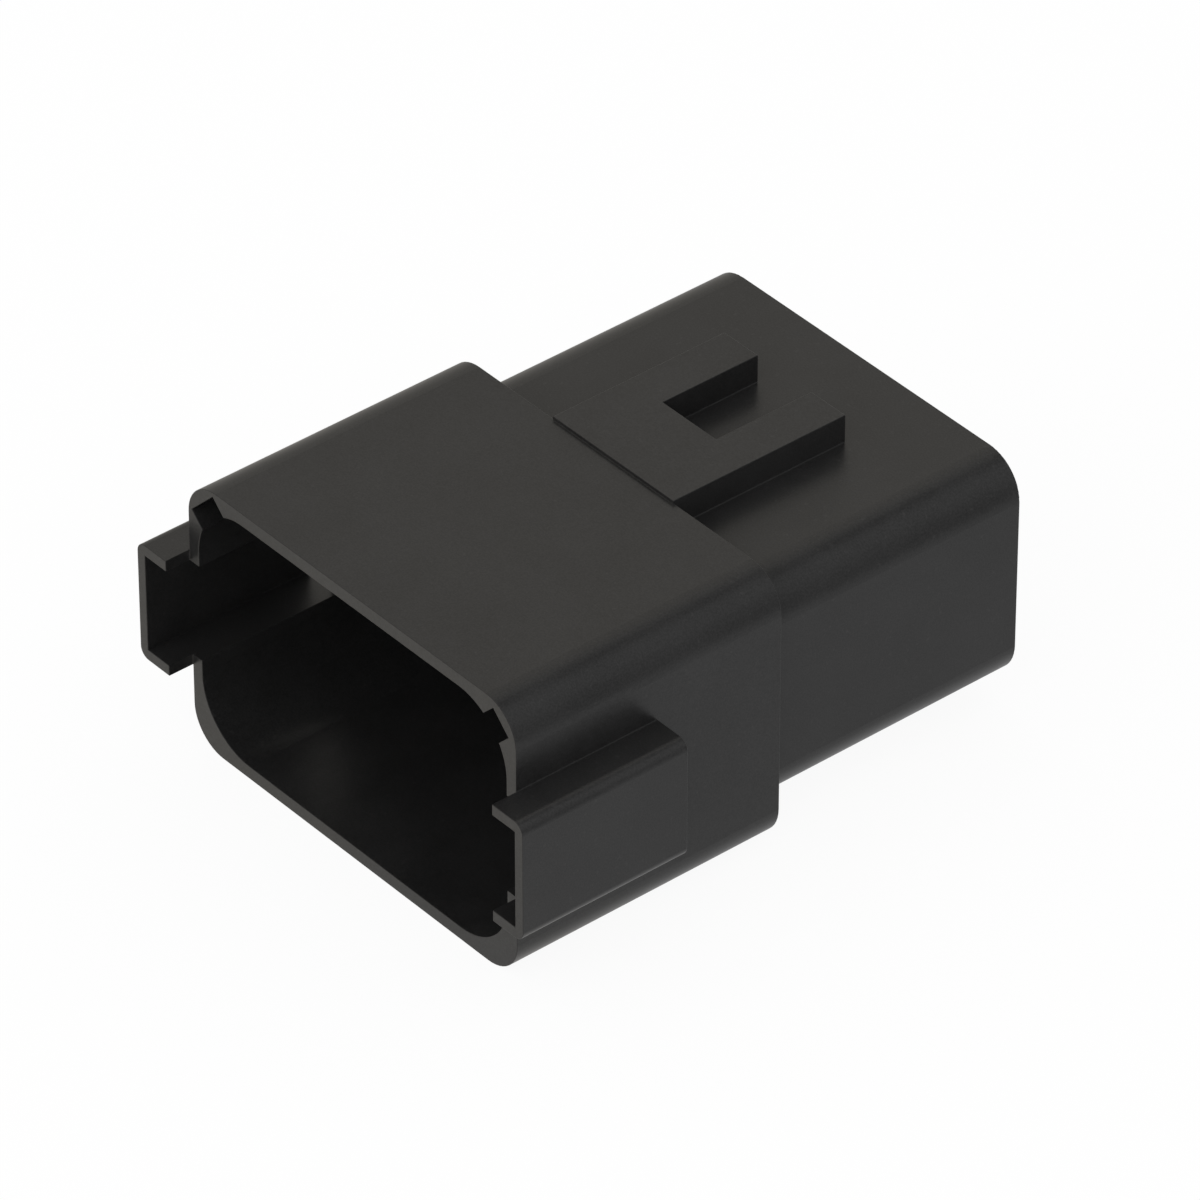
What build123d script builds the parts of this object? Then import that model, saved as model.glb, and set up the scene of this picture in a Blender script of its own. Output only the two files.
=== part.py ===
# Receptacle connector housing: a sealed, two-row, twelve-way shell for pin contacts.
# Millimetres. X runs along the long side of the mouth, Y from the mouth to the wire side, Z up.
# The origin is under the middle of the bounding box, on the plane the front shell rests on.
import os
from build123d import *

os.makedirs("parts", exist_ok=True)

# Lengths along Y
overall_length = 51.65
rail_reach = 2.25
shell_depth = 24.90
floor_wall = 1.20

# Contact passages, two rows of six
columns = 6
rows = 2
column_spacing = 5.20
row_spacing = 8.00
pin_bore = 2.60
contact_bore = 3.40
pin_bore_length = 4.00

# Wire seal; its margins run from the outer passages' axes to its edges
side_margin = 2.875
level_margin = 4.55
seal_length = 8.20
seal_edge = 0.30
wire_hole = 1.90
lip_width = 0.70
lip_height = 0.45
lip_edge = 0.20

# Rear body, the wire side, with the recess that the seal fills
seal_clearance = 0.05
recess_depth = 9.60
recess_corner = 2.00
rear_wall = 1.45
rear_corner = 3.40

# Front shell, the open shroud that takes the mating plug; it steps out from the rear body
side_step = 1.475
level_step = 2.15
shell_corner = 3.35
side_wall = 1.10
level_wall = 1.15
cavity_corner = 5.40

# Keyways cut into the two upper corners of the cavity, each on the diagonal of its outer corner
key_angle = 45.0
key_wall = 1.02
key_root = 0.42
key_wide = 3.60
key_narrow = 2.40
key_stop = 3.70

# Latch rails on both sides of the shroud
rail_stand_off = 3.40
rail_height = 10.60
rail_wall = 0.88
rail_flange = 0.95
rail_corner = 0.90
rail_length = 15.40

# U-shaped pad for a mounting clip on top of the rear body
pad_width = 13.70
pad_length = 16.60
pad_lead = 0.10
pad_top_above_shell = 0.30
pad_root = 1.00
notch_width = 6.05
notch_length = 9.25

# Pin block standing in the bottom of the cavity, with a slot for a wedge lock
block_margin = 1.60
block_corner = 1.50
block_rise = 2.40
block_edge = 0.30
pin_lead_in = 0.25
wedge_slot_margin = 0.50
wedge_slot_height = 2.20
wedge_slot_depth = 8.50

# Broken edge of the moulding
rim_edge = 0.05

# Sections that follow from the sizes, from the passages outwards
grid_width = (columns - 1) * column_spacing
grid_height = (rows - 1) * row_spacing
seal_width = grid_width + 2 * side_margin
seal_height = grid_height + 2 * level_margin
recess_width = seal_width + 2 * seal_clearance
recess_height = seal_height + 2 * seal_clearance
rear_width = recess_width + 2 * rear_wall
rear_height = recess_height + 2 * rear_wall
shell_width = rear_width + 2 * side_step
shell_height = rear_height + 2 * level_step
cavity_width = shell_width - 2 * side_wall
cavity_height = shell_height - 2 * level_wall
slot_height = rail_height - 2 * rail_flange
key_reach = shell_corner - key_wall
block_width = grid_width + contact_bore + 2 * block_margin
block_height = grid_height + contact_bore + 2 * block_margin
wedge_slot_width = grid_width + 2 * wedge_slot_margin

# Positions that follow from the sizes
mid_z = shell_height / 2
shell_side = shell_width / 2
rail_side = shell_side + rail_stand_off
corner_x = shell_side - shell_corner
corner_z = shell_height - shell_corner
rear_top = mid_z + rear_height / 2
pad_top = shell_height + pad_top_above_shell
rail_front_y = -overall_length / 2
mouth_y = rail_front_y + rail_reach
rail_rear_y = rail_front_y + rail_length
step_y = mouth_y + shell_depth
cavity_depth = shell_depth - floor_wall
block_face_y = step_y - floor_wall - block_rise
pad_end_y = step_y - pad_lead + pad_length
rear_y = overall_length / 2
recess_y = rear_y - recess_depth

# Upright planes that look back along Y; a negative extrusion from one of them runs to the rear
rail_front = Plane.XZ.offset(-rail_front_y)
mouth = Plane.XZ.offset(-mouth_y)
step = Plane.XZ.offset(-step_y)
rear = Plane.XZ.offset(-rear_y)
block_face = Plane.XZ.offset(-block_face_y)
recess_floor = Plane.XZ.offset(-recess_y)

# Housing, one moulding
with BuildPart() as housing:
    # Front shell
    with BuildSketch(mouth):
        with Locations((0, mid_z)):
            RectangleRounded(shell_width, shell_height, shell_corner)
    extrude(amount=-shell_depth)
    fillet(housing.faces().sort_by(Axis.Y)[-1].edges(), rim_edge)

    # Rear body
    with BuildSketch(step):
        with Locations((0, mid_z)):
            RectangleRounded(rear_width, rear_height, rear_corner)
    extrude(amount=-(rear_y - step_y))

    # Clip pad with its notch open to the rear
    with BuildSketch(Plane.XY.offset(rear_top - pad_root)):
        with Locations((0, pad_end_y - pad_length / 2)):
            Rectangle(pad_width, pad_length)
        with Locations((0, pad_end_y - notch_length / 2)):
            Rectangle(notch_width, notch_length, mode=Mode.SUBTRACT)
    extrude(amount=pad_top - rear_top + pad_root)
    fillet(housing.faces().sort_by(Axis.Z)[-1].edges(), rim_edge)

    # Latch rails: C profiles whose flanges end on the side of the shell
    with BuildSketch(rail_front) as rail_profile:
        with Locations(((shell_side + rail_side) / 2, mid_z)):
            Rectangle(rail_side - shell_side, rail_height)
        fillet(rail_profile.vertices().group_by(Axis.X)[-1], rail_corner)
        with Locations(((shell_side + rail_side - rail_wall) / 2, mid_z)):
            Rectangle(rail_side - rail_wall - shell_side, slot_height, mode=Mode.SUBTRACT)
        mirror(about=Plane.YZ)
    extrude(amount=-rail_length)

    # Cavity of the shroud: its corners are rounder than the outside, so the wall thickens there
    with BuildSketch(mouth):
        with Locations((0, mid_z)):
            RectangleRounded(cavity_width, cavity_height, cavity_corner)
    extrude(amount=-cavity_depth, mode=Mode.SUBTRACT)

    # Wide keyway in the upper left corner, narrow keyway in the upper right
    with BuildSketch(mouth):
        with Locations(Location((-corner_x, corner_z, 0), (0, 0, 180 - key_angle))):
            with Locations(((key_reach - key_root) / 2, 0)):
                Rectangle(key_reach + key_root, key_wide)
        with Locations(Location((corner_x, corner_z, 0), (0, 0, key_angle))):
            with Locations(((key_reach - key_root) / 2, 0)):
                Rectangle(key_reach + key_root, key_narrow)
    extrude(amount=-(cavity_depth - key_stop), mode=Mode.SUBTRACT)

    # Slots through both side walls behind the rails, as high as the channels
    with BuildSketch(mouth):
        with Locations((0, mid_z)):
            Rectangle(shell_width, slot_height)
    extrude(amount=-(rail_rear_y - mouth_y), mode=Mode.SUBTRACT)

    # Pin block at the bottom of the cavity
    with BuildSketch(block_face):
        with Locations((0, mid_z)):
            RectangleRounded(block_width, block_height, block_corner)
    extrude(amount=-block_rise)
    fillet(housing.faces().filter_by_position(Axis.Y, block_face_y, block_face_y).edges(), block_edge)

    # Slot for the wedge lock between the rows
    with BuildSketch(block_face):
        with Locations((0, mid_z)):
            Rectangle(wedge_slot_width, wedge_slot_height)
    extrude(amount=-wedge_slot_depth, mode=Mode.SUBTRACT)

    # Recess for the wire seal
    with BuildSketch(rear):
        with Locations((0, mid_z)):
            RectangleRounded(recess_width, recess_height, recess_corner)
    extrude(amount=recess_depth, mode=Mode.SUBTRACT)
    fillet(housing.edges().filter_by_position(Axis.Y, rear_y, rear_y), rim_edge)

    # Contact passages: narrow for the pin at the front, wide for the crimp behind
    with BuildSketch(block_face):
        with Locations((0, mid_z)):
            with GridLocations(column_spacing, row_spacing, columns, rows):
                Circle(pin_bore / 2)
    extrude(amount=-(recess_y - block_face_y), mode=Mode.SUBTRACT)
    face_circles = housing.faces().filter_by_position(Axis.Y, block_face_y, block_face_y).edges()
    pin_mouths = face_circles.filter_by(GeomType.CIRCLE).filter_by(lambda e: e.is_closed)
    chamfer(pin_mouths, pin_lead_in)
    with BuildSketch(recess_floor):
        with Locations((0, mid_z)):
            with GridLocations(column_spacing, row_spacing, columns, rows):
                Circle(contact_bore / 2)
    extrude(amount=recess_y - block_face_y - pin_bore_length, mode=Mode.SUBTRACT)

    # Broken edges at both ends of the rails
    fillet(housing.edges().filter_by_position(Axis.Y, rail_front_y, rail_front_y), rim_edge)
    rail_rears = housing.edges().filter_by_position(Axis.Y, rail_rear_y, rail_rear_y)
    fillet(rail_rears.filter_by(lambda e: abs(e.center().X) > shell_side + rim_edge), rim_edge)

    # Broken edges round the mouth, inside and out, but not where the flanges and the slots end
    mouth_rim = housing.edges().filter_by_position(Axis.Y, mouth_y, mouth_y)
    beside_cavity = mouth_rim.filter_by(lambda e: abs(e.center().X) < cavity_width / 2 + side_wall / 4)
    beyond_rails = mouth_rim.filter_by(lambda e: abs(e.center().Z - mid_z) > rail_height / 2)
    fillet(set(beside_cavity + beyond_rails), rim_edge)

# Wire seal, a silicone block with one lipped hole for each wire
with BuildPart() as wire_seal:
    with BuildSketch(recess_floor):
        with Locations((0, mid_z)):
            RectangleRounded(seal_width, seal_height, recess_corner - seal_clearance)
    extrude(amount=-seal_length)
    fillet(wire_seal.faces().sort_by(Axis.Y)[-1].edges(), seal_edge)
    with BuildSketch(recess_floor.offset(-seal_length)):
        with Locations((0, mid_z)):
            with GridLocations(column_spacing, row_spacing, columns, rows):
                Circle(wire_hole / 2 + lip_width)
    extrude(amount=-lip_height)
    lip_rims = wire_seal.edges().filter_by(GeomType.CIRCLE).group_by(Axis.Y)[-1]
    fillet(lip_rims, lip_edge)
    with BuildSketch(recess_floor):
        with Locations((0, mid_z)):
            with GridLocations(column_spacing, row_spacing, columns, rows):
                Circle(wire_hole / 2)
    extrude(amount=-(seal_length + lip_height), mode=Mode.SUBTRACT)

housing.part.label = "housing"
export_step(housing.part, "parts/housing.step")
wire_seal.part.label = "wire_seal"
export_step(wire_seal.part, "parts/wire_seal.step")
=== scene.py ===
# %% [markdown]
# A sealed connector housing on a white table.
# The part is a black moulded receptacle: an open mouth with two latch rails in front, a slimmer
# body behind it, and a rubber seal that closes the wire side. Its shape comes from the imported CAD
# model, which this script loads and never changes. What is made here is the look: the camera, the
# white studio, and the surfaces of moulded plastic and of silicone rubber.

# %% Load the housing
import math

import bpy
from mathutils import Matrix, Vector

MM = 0.001
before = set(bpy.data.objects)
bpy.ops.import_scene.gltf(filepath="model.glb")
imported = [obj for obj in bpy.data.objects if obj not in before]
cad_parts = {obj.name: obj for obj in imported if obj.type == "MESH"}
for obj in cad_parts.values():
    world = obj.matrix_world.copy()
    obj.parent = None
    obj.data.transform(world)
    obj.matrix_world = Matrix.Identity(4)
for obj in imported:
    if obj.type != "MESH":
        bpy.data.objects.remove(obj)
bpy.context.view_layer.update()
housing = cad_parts["housing"]
wire_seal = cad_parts["wire_seal"]
print("pieces:", sorted(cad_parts))

# %% [markdown]
# The camera looks down at the front right corner of the mouth from three quarters of a metre.
# From so far away the long edges stay almost parallel, as in a catalogue picture, and the long
# lens fills the frame with the part. The camera could be aimed with a Track To constraint, but
# its turn, height and roll were found by matching edges, so they are given as angles, and its
# matrix is built from the three directions that they define.

# %% Camera
VIEW_TURN = math.radians(50.049)
VIEW_HEIGHT = math.radians(36.997)
VIEW_ROLL = math.radians(-0.021)
VIEW_DISTANCE = 753.43 * MM
LENS_MM = 297.60
SENSOR_MM = 36.0
NEAREST_SEEN = 10 * MM
FARTHEST_SEEN = 20.0
AIM_POINT = Vector((-12.605, 10.553, -0.068)) * MM


def look_at_housing():
    """The camera's matrix, from its turn round Z, its height and its roll."""
    flat = math.cos(VIEW_HEIGHT)
    back = Vector((math.sin(VIEW_TURN) * flat, -math.cos(VIEW_TURN) * flat, math.sin(VIEW_HEIGHT)))
    right = Vector((math.cos(VIEW_TURN), math.sin(VIEW_TURN), 0.0))
    up = back.cross(right)
    turned = Matrix((right, up, back)).transposed()
    roll = Matrix.Rotation(VIEW_ROLL, 3, "Z")
    return Matrix.Translation(AIM_POINT + back * VIEW_DISTANCE) @ (turned @ roll).to_4x4()


camera_data = bpy.data.cameras.new("catalogue_camera")
camera_data.lens = LENS_MM
camera_data.sensor_width = SENSOR_MM
camera_data.clip_start = NEAREST_SEEN
camera_data.clip_end = FARTHEST_SEEN
camera = bpy.data.objects.new("catalogue_camera", camera_data)
bpy.context.scene.collection.objects.link(camera)
camera.matrix_world = look_at_housing()
bpy.context.scene.camera = camera
bpy.context.scene.view_settings.view_transform = "Standard"
print("camera at mm:", [round(c / MM, 1) for c in camera.matrix_world.translation])

# %% [markdown]
# The sky, the table and both materials below are made of shader nodes, and a few kinds of node
# come again and again: a sum of two values, a soft step, a mix of two colours. They could be
# added and wired one by one, but that takes several lines each time. Four helpers do it instead,
# so that what follows reads like the idea behind it. Each takes the node tree that it adds to.

# %% Helpers for node trees


def number(tree, operation, first, second=0.0):
    """A Math node; each input is a number or a socket."""
    node = tree.nodes.new("ShaderNodeMath")
    node.operation = operation
    for socket, value in zip(node.inputs, (first, second)):
        if isinstance(value, (int, float)):
            socket.default_value = value
        else:
            tree.links.new(value, socket)
    return node.outputs[0]


def rest_of(tree, value):
    """What is left of 1 when the value is taken away."""
    return number(tree, "SUBTRACT", 1.0, value)


def ramp(tree, value, start, end, low=0.0, high=1.0):
    """A soft rise from low to high while the value goes from start to end."""
    node = tree.nodes.new("ShaderNodeMapRange")
    node.interpolation_type = "SMOOTHSTEP"
    node.inputs["From Min"].default_value = start
    node.inputs["From Max"].default_value = end
    node.inputs["To Min"].default_value = low
    node.inputs["To Max"].default_value = high
    tree.links.new(value, node.inputs["Value"])
    return node.outputs["Result"]


def blend_colour(tree, mask, first, second):
    """A colour that goes from the first to the second; each is a colour or a socket."""
    node = tree.nodes.new("ShaderNodeMix")
    node.data_type = "RGBA"
    for title, value in (("A", first), ("B", second)):
        if isinstance(value, tuple):
            node.inputs[title].default_value = (*value, 1.0)
        else:
            tree.links.new(value, node.inputs[title])
    tree.links.new(mask, node.inputs["Factor"])
    return node.outputs["Result"]


print("helpers for node trees: number, rest_of, ramp, blend_colour")

# %% [markdown]
# A black part is seen by what it mirrors more than by lamps. Here it stands in a white studio,
# which the camera sees as plain white. Its gloss sees more: two big soft boxes overhead with a
# darker gap between them, a warmer wall on the left, and a band at eye level that no box lights.
# Those soft differences are what makes the rounded corners readable as round. Real soft boxes
# could be hung up as glowing planes, but a pattern drawn on the direction in which a ray leaves
# has softer edges and less noise, and it stays put when the camera moves.

# %% Sky that the gloss mirrors
SKY_HIGH = 0.533
SKY_LOW_LEFT = 0.50
SKY_LOW_RIGHT = 0.325
SKY_SIDES = 0.5
SKY_LOW_HEIGHT = 0.02
SKY_HIGH_HEIGHT = 0.62
GAP_DARKNESS = 0.60
GAP_MIDDLE = 0.07
GAP_INSIDE = 0.05
GAP_OUTSIDE = 0.24
GAP_HEIGHT = 0.55
GAP_HEIGHT_EDGE = 0.15
WHITE = (1.0, 1.0, 1.0)
WARM_WALL = (1.045, 1.0, 0.915)
WARM_START = 0.1
WARM_FULL = -0.5


def add_studio_sky(tree):
    """Strength and colour of the white studio in the direction of a ray."""
    direction = tree.nodes.new("ShaderNodeTexCoord")
    axes = tree.nodes.new("ShaderNodeSeparateXYZ")
    tree.links.new(direction.outputs["Generated"], axes.inputs[0])
    sideways = axes.outputs["X"]
    upwards = axes.outputs["Z"]
    low_level = ramp(tree, sideways, -SKY_SIDES, SKY_SIDES, SKY_LOW_LEFT, SKY_LOW_RIGHT)
    rise = ramp(tree, upwards, SKY_LOW_HEIGHT, SKY_HIGH_HEIGHT)
    room = number(tree, "SUBTRACT", SKY_HIGH, low_level)
    level = number(tree, "ADD", low_level, number(tree, "MULTIPLY", rise, room))
    from_gap = number(tree, "ABSOLUTE", number(tree, "SUBTRACT", sideways, GAP_MIDDLE))
    across = ramp(tree, from_gap, GAP_INSIDE, GAP_OUTSIDE, GAP_DARKNESS, 0.0)
    overhead = ramp(tree, upwards, GAP_HEIGHT - GAP_HEIGHT_EDGE, GAP_HEIGHT + GAP_HEIGHT_EDGE)
    gap = number(tree, "MULTIPLY", across, overhead)
    strength = number(tree, "MULTIPLY", level, rest_of(tree, gap))
    warm = ramp(tree, sideways, WARM_START, WARM_FULL)
    return strength, blend_colour(tree, warm, WHITE, WARM_WALL)


print("mirrored sky up to", SKY_HIGH)

# %% [markdown]
# The world is the studio's white room. One Background node could be both the light and the
# backdrop, but then a dimmer light would turn the backdrop grey. So a Light Path node tells the
# kinds of rays apart: the light that falls on the part is an even white, the camera sees white
# of strength 1, and gloss sees the sky drawn above. The table uses the same helpers later.

# %% World of white light
WORLD_LIGHT = 0.85


def white_rays(tree):
    """Two masks: the rays that see a white background, and the glossy ones among them."""
    path = tree.nodes.new("ShaderNodeLightPath")
    glossy = path.outputs["Is Glossy Ray"]
    seen = number(tree, "MAXIMUM", path.outputs["Is Camera Ray"], glossy)
    return number(tree, "MAXIMUM", seen, path.outputs["Is Transmission Ray"]), glossy


def white_or_mirrored(tree, gloss_mask, level, colour, shader):
    """The shader glows in plain white, but for gloss at the drawn level and colour."""
    tree.links.new(blend_colour(tree, gloss_mask, WHITE, colour), shader.inputs["Color"])
    dimmer = number(tree, "MULTIPLY", gloss_mask, rest_of(tree, level))
    tree.links.new(rest_of(tree, dimmer), shader.inputs["Strength"])


def mix_shaders(tree, mask, first, second, output):
    """The first shader where the mask is 0, the second where it is 1, sent to the output."""
    mix = tree.nodes.new("ShaderNodeMixShader")
    tree.links.new(mask, mix.inputs[0])
    tree.links.new(first.outputs[0], mix.inputs[1])
    tree.links.new(second.outputs[0], mix.inputs[2])
    tree.links.new(mix.outputs[0], output.inputs["Surface"])


world = bpy.data.worlds.new("white_studio")
world.use_nodes = True
bpy.context.scene.world = world
tree = world.node_tree
tree.nodes.clear()
seen_mask, gloss_mask = white_rays(tree)
sky_level, sky_colour = add_studio_sky(tree)
light_part = tree.nodes.new("ShaderNodeBackground")
light_part.inputs["Color"].default_value = (*WHITE, 1.0)
light_part.inputs["Strength"].default_value = WORLD_LIGHT
seen_part = tree.nodes.new("ShaderNodeBackground")
white_or_mirrored(tree, gloss_mask, sky_level, sky_colour, seen_part)
mix_shaders(tree, seen_mask, light_part, seen_part, tree.nodes.new("ShaderNodeOutputWorld"))
print("world light:", WORLD_LIGHT)

# %% [markdown]
# One big soft box hangs in front of the part, half a metre above the table. Its light comes in
# through the open mouth, so that the grain of the dark walls in there can still be made out. A
# point lamp could do that too, but its shadows have hard edges. The box is left out of what
# gloss mirrors, because the drawn sky already holds the soft boxes.

# %% Soft lamp
LAMP_SIZE = 0.9
LAMP_POWER = 2.9
LAMP_PLACE = Vector((0.10, -0.85, 0.50))

lamp_data = bpy.data.lights.new("soft_box", "AREA")
lamp_data.shape = "SQUARE"
lamp_data.size = LAMP_SIZE
lamp_data.energy = LAMP_POWER
soft_box = bpy.data.objects.new("soft_box", lamp_data)
bpy.context.scene.collection.objects.link(soft_box)
soft_box.location = LAMP_PLACE
soft_box.rotation_euler = (-LAMP_PLACE).to_track_quat("-Z", "Y").to_euler()
soft_box.visible_glossy = False
print("lamp at", [round(c, 2) for c in LAMP_PLACE])

# %% [markdown]
# The table is a plain sheet, much wider than the picture. Its top could lie at the height of the
# part's underside, but two faces in one plane show through each other in patches, so it lies a
# hair below.

# %% Table
TABLE_SIZE = 6.0
TABLE_GAP = 0.01 * MM

bpy.ops.object.select_all(action="DESELECT")
bpy.ops.mesh.primitive_plane_add(size=TABLE_SIZE, location=(0, 0, -TABLE_GAP))
table = bpy.context.object
table.name = "white_table"
bpy.ops.object.transform_apply(location=True, rotation=False, scale=False)
print("table side in metres:", TABLE_SIZE)

# %% [markdown]
# The lower half of what the part mirrors is the table. In the gloss the sheet is brightest close
# to the part and dims outwards, as a lit sheet does, and it is a little warmer and brighter on
# the left, where the warm wall of the studio is. Two places are brighter still: a broad band at
# the foot of the part, which runs back from the mouth and is mirrored in the lowest rounded
# edges, and a narrow strip beside each latch rail, which gives the rail's lower edge its thin
# light line. Small lamps could do that, but they would light the table too. A level drawn on the
# place on the sheet changes the gloss alone, and it stays put when the camera moves.

# %% What gloss sees of the table
MIRRORED_NEAR_LEFT = 0.62
MIRRORED_NEAR_RIGHT = 0.485
MIRRORED_FAR_LEFT = 0.50
MIRRORED_FAR_RIGHT = 0.25
NEAR_SIDES = 45 * MM
FAR_SIDES = 60 * MM
NEAR_REACH = 40 * MM
FAR_REACH = 115 * MM
WARM_SHEET_START = 20 * MM
WARM_SHEET_FULL = -40 * MM
FOOT_EXTRA = 0.28
FOOT_INSIDE = 18.5 * MM
FOOT_OUTSIDE = 22.0 * MM
FOOT_FRONT = -24.0 * MM
FOOT_FRONT_EDGE = 2 * MM
RAIL_STRIP_EXTRA = 0.58
RAIL_STRIP_MIDDLE = 24.35 * MM
RAIL_STRIP_HALF = 1.15 * MM
RAIL_STRIP_END = -6.5 * MM
STRIP_EDGE = 1.0 * MM


def add_brighter_places(tree, along_x, along_y):
    """A factor that is 1 on most of the sheet, and more at the foot and beside the rails."""
    aside = number(tree, "ABSOLUTE", along_x)
    between_sides = ramp(tree, aside, FOOT_OUTSIDE, FOOT_INSIDE)
    behind_mouth = ramp(tree, along_y, FOOT_FRONT, FOOT_FRONT + FOOT_FRONT_EDGE)
    at_foot = number(tree, "MULTIPLY", between_sides, behind_mouth)
    from_strip = number(tree, "ABSOLUTE", number(tree, "SUBTRACT", aside, RAIL_STRIP_MIDDLE))
    on_strip = ramp(tree, from_strip, RAIL_STRIP_HALF + STRIP_EDGE, RAIL_STRIP_HALF)
    before_end = ramp(tree, along_y, RAIL_STRIP_END + STRIP_EDGE, RAIL_STRIP_END)
    beside_rail = number(tree, "MULTIPLY", before_end, behind_mouth)
    strip = number(tree, "MULTIPLY", on_strip, beside_rail)
    foot_extra = number(tree, "MULTIPLY", at_foot, FOOT_EXTRA)
    strip_extra = number(tree, "MULTIPLY", strip, RAIL_STRIP_EXTRA)
    return number(tree, "ADD", number(tree, "ADD", foot_extra, strip_extra), 1.0)


def add_mirrored_table(tree):
    """Strength and colour that gloss sees at each place on the sheet."""
    place = tree.nodes.new("ShaderNodeTexCoord").outputs["Object"]
    axes = tree.nodes.new("ShaderNodeSeparateXYZ")
    reach = tree.nodes.new("ShaderNodeVectorMath")
    reach.operation = "LENGTH"
    tree.links.new(place, axes.inputs[0])
    tree.links.new(place, reach.inputs[0])
    along_x = axes.outputs["X"]
    along_y = axes.outputs["Y"]
    across = number(tree, "ADD", along_x, along_y)
    near = ramp(tree, across, -NEAR_SIDES, NEAR_SIDES, MIRRORED_NEAR_LEFT, MIRRORED_NEAR_RIGHT)
    far = ramp(tree, along_x, -FAR_SIDES, FAR_SIDES, MIRRORED_FAR_LEFT, MIRRORED_FAR_RIGHT)
    outwards = ramp(tree, reach.outputs["Value"], NEAR_REACH, FAR_REACH)
    drop = number(tree, "MULTIPLY", outwards, number(tree, "SUBTRACT", near, far))
    level = number(tree, "SUBTRACT", near, drop)
    strength = number(tree, "MULTIPLY", add_brighter_places(tree, along_x, along_y), level)
    warm = ramp(tree, across, WARM_SHEET_START, WARM_SHEET_FULL)
    return strength, blend_colour(tree, warm, WHITE, WARM_WALL)


print("mirrored table:", MIRRORED_FAR_RIGHT, "to", MIRRORED_NEAR_LEFT)

# %% [markdown]
# The sheet's own white is mixed with a glow that only the camera and mirror-like rays meet. A
# brighter lamp could whiten the table as well, but it would wash out the part. The glow keeps
# the background white without it, and the plain white part of the mix still takes the soft
# shadow of the housing, so that it stands on something.

# %% Table white
TABLE_GLOW = 0.93
TABLE_WHITE = 0.98

table_look = bpy.data.materials.new("table_white")
table_look.use_nodes = True
tree = table_look.node_tree
tree.nodes.clear()
seen_mask, gloss_mask = white_rays(tree)
table_level, table_colour = add_mirrored_table(tree)
sheet = tree.nodes.new("ShaderNodeBsdfDiffuse")
sheet.inputs["Color"].default_value = (TABLE_WHITE, TABLE_WHITE, TABLE_WHITE, 1.0)
glow = tree.nodes.new("ShaderNodeEmission")
white_or_mirrored(tree, gloss_mask, table_level, table_colour, glow)
glow_share = number(tree, "MULTIPLY", seen_mask, TABLE_GLOW)
mix_shaders(tree, glow_share, sheet, glow, tree.nodes.new("ShaderNodeOutputMaterial"))
table.data.materials.append(table_look)
print("table glow share:", TABLE_GLOW)

# %% [markdown]
# Moulded parts have no truly sharp edges. The model has its broken edges already, so outside
# corners need only a hair more rounding in the shading. Inside corners keep the larger radius
# that a cutter leaves, and in a black part each shows as one thin bright line. They could be
# modelled as fillets, but at a fifth of a millimetre the shading does it as well: a Bevel node
# with two radii, and an Ambient Occlusion node with a very short reach, which tells inside
# corners from outside ones. The same nodes give a mask for rubbed edges. All of it is put in one
# group, because plastic and rubber use it with different sizes.

# %% Group for rounded, rubbed edges
FLOAT = "NodeSocketFloat"
VECTOR = "NodeSocketVector"
EDGE_SAMPLES = 4
CORNER_SAMPLES = 4
CORNER_START = 0.98
CORNER_FULL = 0.80
BENT_START = 0.995
BENT_FULL = 0.85


def new_group(name, inputs, outputs):
    """A shader group with number inputs and named outputs, and its two end nodes."""
    group = bpy.data.node_groups.new(name, "ShaderNodeTree")
    for title, value in inputs:
        socket = group.interface.new_socket(title, in_out="INPUT", socket_type=FLOAT)
        socket.default_value = value
    for title, kind in outputs:
        group.interface.new_socket(title, in_out="OUTPUT", socket_type=kind)
    return group, group.nodes.new("NodeGroupInput"), group.nodes.new("NodeGroupOutput")


def rounded_normal(tree, radius):
    """The normal that an edge of this radius would have, with no change to the mesh."""
    bevel = tree.nodes.new("ShaderNodeBevel")
    bevel.samples = EDGE_SAMPLES
    tree.links.new(radius, bevel.inputs["Radius"])
    return bevel.outputs["Normal"]


edge_group, edge_in, edge_out = new_group(
    "moulded_edge",
    [("Edge Radius", 0.04 * MM), ("Corner Radius", 0.12 * MM)],
    [("Normal", VECTOR), ("Wear", FLOAT), ("Corner", FLOAT)],
)
small_round = rounded_normal(edge_group, edge_in.outputs["Edge Radius"])
large_round = rounded_normal(edge_group, edge_in.outputs["Corner Radius"])
nearby = edge_group.nodes.new("ShaderNodeAmbientOcclusion")
nearby.samples = CORNER_SAMPLES
nearby.only_local = True
edge_group.links.new(edge_in.outputs["Corner Radius"], nearby.inputs["Distance"])
true_side = edge_group.nodes.new("ShaderNodeNewGeometry")
alike = edge_group.nodes.new("ShaderNodeVectorMath")
alike.operation = "DOT_PRODUCT"
edge_group.links.new(large_round, alike.inputs[0])
edge_group.links.new(true_side.outputs["Normal"], alike.inputs[1])
corner = ramp(edge_group, nearby.outputs["AO"], CORNER_START, CORNER_FULL)
bent = ramp(edge_group, alike.outputs["Value"], BENT_START, BENT_FULL)
wear = number(edge_group, "MULTIPLY", bent, rest_of(edge_group, corner))
turned = edge_group.nodes.new("ShaderNodeMix")
turned.data_type = "VECTOR"
edge_group.links.new(corner, turned.inputs["Factor"])
edge_group.links.new(small_round, turned.inputs["A"])
edge_group.links.new(large_round, turned.inputs["B"])
edge_group.links.new(turned.outputs["Result"], edge_out.inputs["Normal"])
edge_group.links.new(wear, edge_out.inputs["Wear"])
edge_group.links.new(corner, edge_out.inputs["Corner"])
print("group:", edge_group.name)

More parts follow.
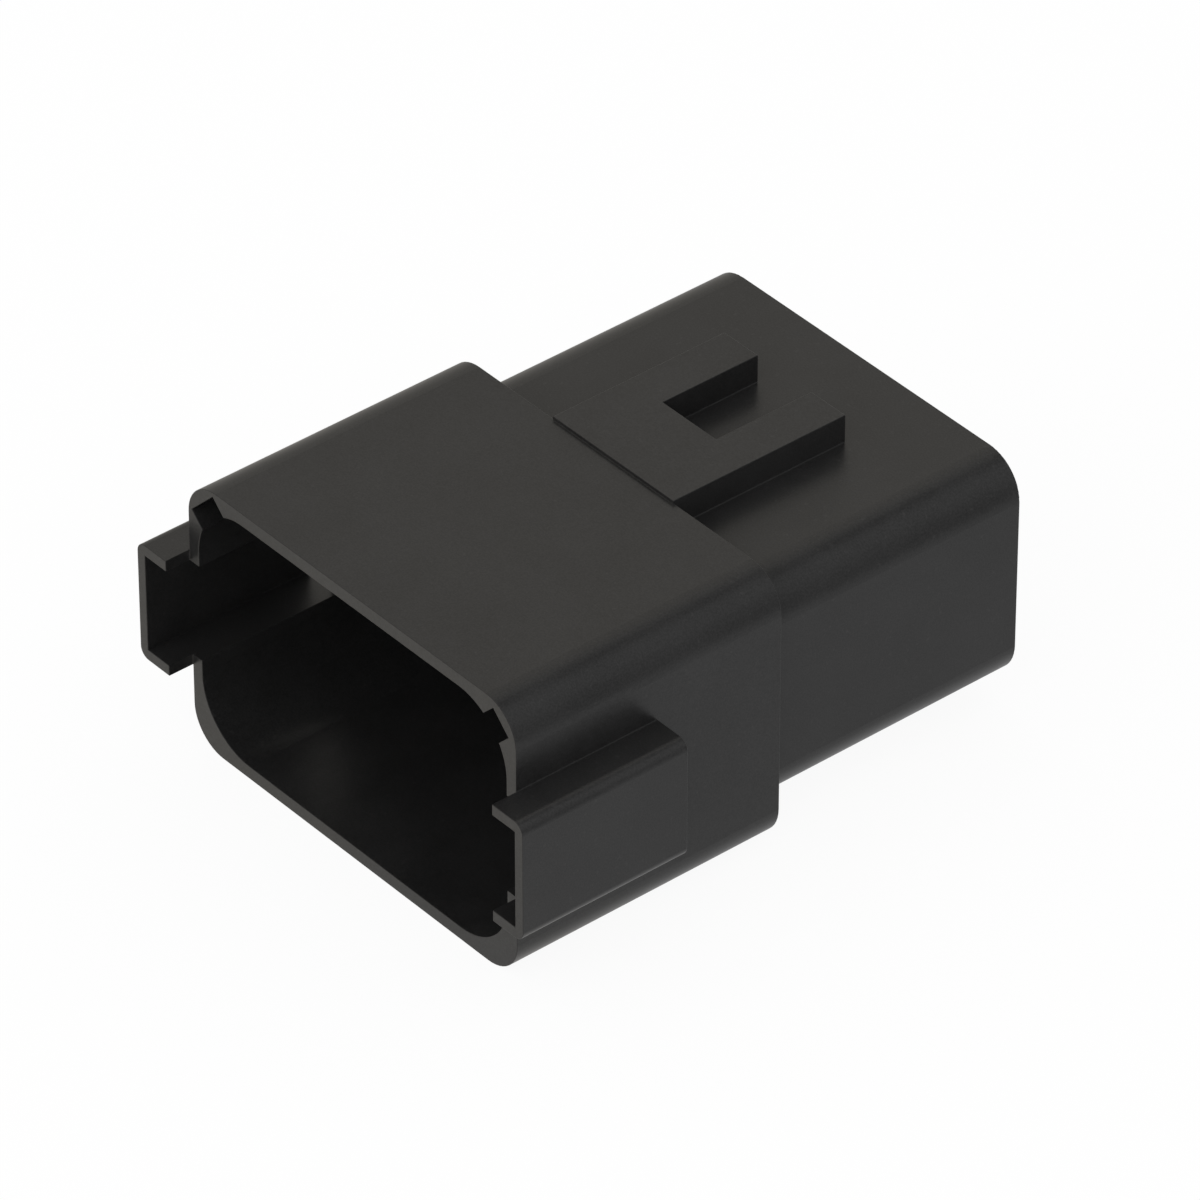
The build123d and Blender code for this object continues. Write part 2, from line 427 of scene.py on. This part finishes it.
# %% [markdown]
# The plastic is glass-filled and black. Close up it isn't even: the cavity of the mould leaves a
# fine spark-eroded grain, the melt leaves broad faint clouds where it was a little glossier or
# duller, it drags long thin streaks along the way it flowed, and short glass fibres near the
# skin make tiny paler specks. A photographed texture would repeat and need unwrapping, so one
# group makes these patterns at their real sizes, in millimetres, from noise on object
# coordinates, and rubber uses it with other sizes.

# %% Group for the moulded skin
FLOW_STRETCH = 0.10
ROUGH_NOISE = {"Detail": 3.0, "Roughness": 0.6}
SMOOTH_NOISE = {"Detail": 2.0, "Roughness": 0.5}
GRAIN_RANGE = (0.32, 0.68)
CLOUD_RANGE = (0.30, 0.70)
FLOW_RANGE = (0.30, 0.70)
FIBRE_RANGE = (0.64, 0.76)


def noise_of_size(tree, place, size_mm, kind):
    """A noise pattern whose lumps are about as large as the socket says, in millimetres."""
    noise = tree.nodes.new("ShaderNodeTexNoise")
    for title, value in kind.items():
        noise.inputs[title].default_value = value
    tree.links.new(number(tree, "DIVIDE", 1.0 / MM, size_mm), noise.inputs["Scale"])
    tree.links.new(place, noise.inputs["Vector"])
    return noise.outputs["Fac"]


skin_group, skin_in, skin_out = new_group(
    "moulded_skin",
    [("Grain Size mm", 0.14), ("Cloud Size mm", 6.0), ("Flow Size mm", 0.8), ("Fibre Size mm", 0.4)],
    [("Height", FLOAT), ("Grain", FLOAT), ("Cloud", FLOAT), ("Flow", FLOAT), ("Fibre", FLOAT)],
)
skin_place = skin_group.nodes.new("ShaderNodeTexCoord").outputs["Object"]
mapping = skin_group.nodes.new("ShaderNodeMapping")
mapping.inputs["Scale"].default_value = (1.0, FLOW_STRETCH, 1.0)
skin_group.links.new(skin_place, mapping.inputs["Vector"])
along_flow = mapping.outputs["Vector"]
sizes = skin_in.outputs
grain = noise_of_size(skin_group, skin_place, sizes["Grain Size mm"], ROUGH_NOISE)
cloud = noise_of_size(skin_group, skin_place, sizes["Cloud Size mm"], ROUGH_NOISE)
flow = noise_of_size(skin_group, along_flow, sizes["Flow Size mm"], SMOOTH_NOISE)
fibre = noise_of_size(skin_group, skin_place, sizes["Fibre Size mm"], SMOOTH_NOISE)
skin_group.links.new(grain, skin_out.inputs["Height"])
skin_group.links.new(ramp(skin_group, grain, *GRAIN_RANGE), skin_out.inputs["Grain"])
skin_group.links.new(ramp(skin_group, cloud, *CLOUD_RANGE), skin_out.inputs["Cloud"])
skin_group.links.new(ramp(skin_group, flow, *FLOW_RANGE), skin_out.inputs["Flow"])
skin_group.links.new(ramp(skin_group, fibre, *FIBRE_RANGE), skin_out.inputs["Fibre"])
print("group:", skin_group.name)

# %% [markdown]
# Both materials are a Principled BSDF that the two groups feed. It could be wired by hand in
# each, but four more helpers keep that short: one starts a material, one places a group with
# sizes of its own, one adds up two masks, and one lays a fine relief over a normal.

# %% Helpers for materials


def principled(name):
    """A new material, its node tree and its shader, ready to be wired."""
    look = bpy.data.materials.new(name)
    look.use_nodes = True
    return look, look.node_tree, look.node_tree.nodes["Principled BSDF"]


def add_group(tree, group, sizes):
    """A group placed in a material, with its sizes set by name."""
    node = tree.nodes.new("ShaderNodeGroup")
    node.node_tree = group
    for title, value in sizes.items():
        node.inputs[title].default_value = value
    return node


def weighted(tree, first, share, second):
    """Two masks added up: a share of the first and the rest of the second."""
    main = number(tree, "MULTIPLY", first, share)
    other = number(tree, "MULTIPLY", second, 1.0 - share)
    return number(tree, "ADD", main, other)


def add_bump(tree, height, under, strength, depth):
    """Fine relief on top of a normal."""
    bump = tree.nodes.new("ShaderNodeBump")
    bump.inputs["Strength"].default_value = strength
    bump.inputs["Distance"].default_value = depth
    tree.links.new(height, bump.inputs["Height"])
    tree.links.new(under, bump.inputs["Normal"])
    return bump.outputs["Normal"]


print("helpers for materials: principled, add_group, weighted, add_bump")

# %% [markdown]
# The plastic's own colour is nearly black, and most of what the eye gets from it is the sheen of
# a satin surface. One flat black would do for a far view, but it makes the dark mouth look
# painted. So the grain makes the black itself vary from one tenth of a millimetre to the next,
# clouds and streaks move the roughness a little, edges are rubbed a touch paler, and the grain
# is also a bump of a few thousandths of a millimetre.

# %% Shell plastic
PLASTIC_EDGES = {"Edge Radius": 0.04 * MM, "Corner Radius": 0.18 * MM}
PLASTIC_SKIN = {"Grain Size mm": 0.14, "Cloud Size mm": 6.0, "Flow Size mm": 0.8, "Fibre Size mm": 0.4}
PLASTIC_BLACK = (0.0080, 0.0079, 0.0079)
PLASTIC_PALER = (0.0212, 0.0210, 0.0210)
PLASTIC_FIBRE = (0.030, 0.0295, 0.029)
PLASTIC_RUBBED = (0.026, 0.0255, 0.025)
SPECKLE_GRAIN_SHARE = 0.75
FIBRE_STRENGTH = 0.6
RUBBED_STRENGTH = 0.3
DULL_CLOUD_SHARE = 0.6
PLASTIC_SATIN = (0.29, 0.35)
PLASTIC_RELIEF = 0.35
PLASTIC_RELIEF_DEPTH = 0.004 * MM
PLASTIC_IOR = 1.50

shell_plastic, tree, shader = principled("shell_plastic_black")
edge = add_group(tree, edge_group, PLASTIC_EDGES).outputs
skin = add_group(tree, skin_group, PLASTIC_SKIN).outputs
speckle = weighted(tree, skin["Grain"], SPECKLE_GRAIN_SHARE, skin["Cloud"])
tone = blend_colour(tree, speckle, PLASTIC_BLACK, PLASTIC_PALER)
fibres = number(tree, "MULTIPLY", skin["Fibre"], FIBRE_STRENGTH)
tone = blend_colour(tree, fibres, tone, PLASTIC_FIBRE)
rubbed = number(tree, "MULTIPLY", edge["Wear"], RUBBED_STRENGTH)
tone = blend_colour(tree, rubbed, tone, PLASTIC_RUBBED)
dullness = weighted(tree, skin["Cloud"], DULL_CLOUD_SHARE, skin["Flow"])
satin = ramp(tree, dullness, 0.0, 1.0, *PLASTIC_SATIN)
relief = add_bump(tree, skin["Height"], edge["Normal"], PLASTIC_RELIEF, PLASTIC_RELIEF_DEPTH)
tree.links.new(tone, shader.inputs["Base Color"])
tree.links.new(satin, shader.inputs["Roughness"])
tree.links.new(relief, shader.inputs["Normal"])
shader.inputs["IOR"].default_value = PLASTIC_IOR
for slot in housing.material_slots:
    slot.material = shell_plastic
print("housing looks like", shell_plastic.name)

# %% [markdown]
# Silicone rubber is softer to look at than the plastic: a dark grey with a matt skin and a faint
# bloom of dust, which gathers in inside corners, and no crisp edges. It could be the plastic's
# material with more roughness, but the dust is what tells rubber from plastic, so it gets its
# own mix of the same two groups, with rounder edges, coarser grain and smaller clouds.

# %% Seal rubber
RUBBER_EDGES = {"Edge Radius": 0.12 * MM, "Corner Radius": 0.25 * MM}
RUBBER_SKIN = {"Grain Size mm": 0.22, "Cloud Size mm": 3.0}
RUBBER_GREY = (0.030, 0.030, 0.032)
RUBBER_BLOOM = (0.052, 0.052, 0.055)
RUBBER_DUST = (0.080, 0.079, 0.077)
MOTTLE_CLOUD_SHARE = 0.6
RUBBER_MATT = (0.52, 0.66)
RUBBER_RELIEF = 0.5
RUBBER_RELIEF_DEPTH = 0.008 * MM
RUBBER_IOR = 1.41

seal_rubber, tree, shader = principled("seal_rubber_grey")
edge = add_group(tree, edge_group, RUBBER_EDGES).outputs
skin = add_group(tree, skin_group, RUBBER_SKIN).outputs
mottle = weighted(tree, skin["Cloud"], MOTTLE_CLOUD_SHARE, skin["Grain"])
tone = blend_colour(tree, mottle, RUBBER_GREY, RUBBER_BLOOM)
dusty = number(tree, "MULTIPLY", edge["Corner"], skin["Grain"])
tone = blend_colour(tree, dusty, tone, RUBBER_DUST)
matt = ramp(tree, skin["Cloud"], 0.0, 1.0, *RUBBER_MATT)
relief = add_bump(tree, skin["Height"], edge["Normal"], RUBBER_RELIEF, RUBBER_RELIEF_DEPTH)
tree.links.new(tone, shader.inputs["Base Color"])
tree.links.new(matt, shader.inputs["Roughness"])
tree.links.new(relief, shader.inputs["Normal"])
shader.inputs["IOR"].default_value = RUBBER_IOR
for slot in wire_seal.material_slots:
    slot.material = seal_rubber
print("wire seal looks like", seal_rubber.name)
